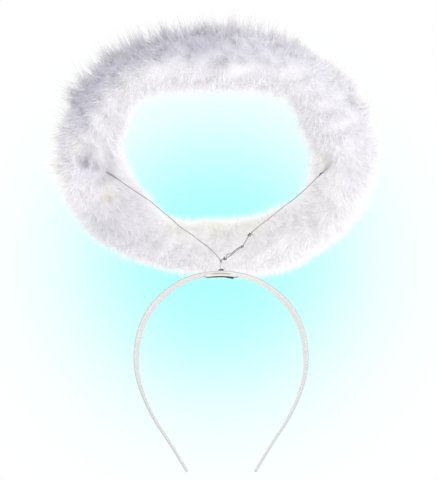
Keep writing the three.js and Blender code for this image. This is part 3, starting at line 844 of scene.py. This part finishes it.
def patch_place(along, across, thick, lift):
    """A point of the patch: along the band, across it and down from its upper face, in millimetres."""
    gap = 2 * CLEARANCE + WIRE["arm"]
    depth = BAND["wall"] + gap * lift + thick
    point = band_point(along, depth)
    point[..., 1] = across
    return point


def build_patch():
    """A thin soft patch pressed over the wire tails, its back rim dark and curled down."""
    along = np.linspace(0, 1, 90)
    wide = table(PATCH_SHAPE, along, 1) * PATCH["depth"] / 2
    across = np.linspace(-1, 1, 41)
    a, b = np.meshgrid(along, across, indexing="ij")
    distance = (a - 0.5) * PATCH["length"]
    rim = np.abs(b) ** 4
    ends = np.sqrt(np.clip(np.minimum(a, 1 - a) / PATCH_EDGE["end"], 0, 1))
    lift = PATCH_EDGE["least_lift"] + PATCH_EDGE["lift"] * (1 - rim) * ends
    lip = table(PATCH_LIP, a, 1) * np.exp(-((b - PATCH_EDGE["lip"]) / PATCH_EDGE["lip_wide"]) ** 2)
    lower = patch_place(distance, b * wide[:, None], PATCH_EDGE["thin"] + lip, lift)
    upper = patch_place(distance, b * wide[:, None], PATCH_EDGE["upper"], 0)
    sections = np.concatenate([lower, upper[:, ::-1]], 1)
    vertices, faces = lofted(sections)
    piece = mesh_object("soft_patch", vertices, faces, tinted_material("patch", 0.8, 0.2, 3000))
    dark = np.clip((b - PATCH_EDGE["dark_from"]) / PATCH_EDGE["dark_over"], 0, 1)[..., None]
    # Painted shadow: a thin brownish line along the front edge, where the patch meets the band
    gap_shadow = np.clip((-PATCH_EDGE["gap_shadow_to"] - b) / PATCH_EDGE["gap_shadow_over"], 0, 1)
    gap_shadow = (gap_shadow * np.clip(3 * np.sin(a * np.pi) - 1.4, 0, 1))[..., None]
    tint = PATCH_EDGE["pale"] * (1 - dark) + PATCH_EDGE["dark"] * dark
    tint = tint * (1 - gap_shadow) + PATCH_EDGE["gap_shadow"] * gap_shadow
    upper_tint = np.broadcast_to(PATCH_EDGE["pale"] * PATCH_EDGE["upper_shade"], tint.shape)
    paint(piece, np.concatenate([tint, upper_tint], 1).reshape(-1, 3))
    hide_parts("cover_patch")
    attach(piece, "root")


def backdrop_material():
    material, tree, shader = node_material("backdrop", 1)
    shader.inputs["Base Color"].default_value = (0.9, 0.9, 0.9, 1)
    return material


def glow_material():
    """Pale light that turns bluish toward the middle of the wall."""
    material, tree, shader = node_material("backdrop_glow", 1)
    coordinates = tree.nodes.new("ShaderNodeTexCoord")
    distance = tree.nodes.new("ShaderNodeVectorMath")
    distance.operation = "DISTANCE"
    distance.inputs[1].default_value = STAGE["glow"]
    tree.links.new(coordinates.outputs["Object"], distance.inputs[0])
    ramp = tree.nodes.new("ShaderNodeValToRGB")
    stops = ramp.color_ramp.elements
    while len(stops) < len(GLOW):
        stops.new(1)
    for stop, (reach, red) in zip(stops, GLOW):
        stop.position = reach
        stop.color = (red, 1, 1, 1)
    tree.links.new(distance.outputs["Value"], ramp.inputs["Fac"])
    emission = tree.nodes.new("ShaderNodeEmission")
    tree.links.new(ramp.outputs["Color"], emission.inputs["Color"])
    tree.links.new(emission.outputs["Emission"], tree.nodes["Material Output"].inputs["Surface"])
    return material


def stage_plane(name, place, turned, material):
    bpy.ops.mesh.primitive_plane_add(size=STAGE["size"], location=place, rotation=(turned, 0, 0))
    obj = bpy.context.object
    obj.name = name
    obj.data.materials.append(material)
    return obj


def build_stage():
    stage_plane("floor", STAGE["floor"], 0, backdrop_material())
    wall = stage_plane("backdrop", STAGE["wall"], math.pi / 2, glow_material())
    wall.visible_diffuse = False
    wall.visible_glossy = False
    wall.visible_transmission = False


def area_light(name, place, size, power):
    light = bpy.data.lights.new(name, "AREA")
    light.size = size
    light.energy = power
    obj = bpy.data.objects.new(name, light)
    obj.location = place
    obj.rotation_euler = (Vector(LIT["aim"]) - Vector(place)).to_track_quat("-Z", "Y").to_euler()
    bpy.context.scene.collection.objects.link(obj)


def build_lights():
    world = bpy.data.worlds.new("studio")
    bpy.context.scene.world = world
    world.use_nodes = True
    world.node_tree.nodes["Background"].inputs["Color"].default_value = (1, 1, 1, 1)
    world.node_tree.nodes["Background"].inputs["Strength"].default_value = LIT["world"]
    for row in LIGHTS:
        area_light(*row)
    bpy.context.scene.view_settings.view_transform = "Standard"


def build_camera():
    data = bpy.data.cameras.new("camera")
    data.sensor_width = CAMERA["sensor"]
    data.lens = CAMERA["focal_px"] / CAMERA["image_px"] * CAMERA["sensor"]
    data.clip_start = 0.01
    obj = bpy.data.objects.new("camera", data)
    view = Vector(looking(CAMERA["below"]))
    obj.location = (Vector(CAMERA["aim"]) - view * CAMERA["distance"]) * MM
    obj.rotation_euler = view.to_track_quat("-Z", "Y").to_euler()
    bpy.context.scene.collection.objects.link(obj)
    bpy.context.scene.camera = obj


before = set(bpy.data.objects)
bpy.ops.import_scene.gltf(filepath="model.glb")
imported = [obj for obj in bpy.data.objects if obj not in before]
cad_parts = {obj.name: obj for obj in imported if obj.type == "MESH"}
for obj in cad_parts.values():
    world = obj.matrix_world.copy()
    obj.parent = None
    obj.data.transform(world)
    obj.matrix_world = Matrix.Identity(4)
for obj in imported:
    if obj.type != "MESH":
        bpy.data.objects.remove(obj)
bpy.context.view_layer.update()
build_camera()
build_stage()
build_lights()
build_wires()
dress_hoop(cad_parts["ring_wire"])
build_feathers()
build_band()
build_patch()
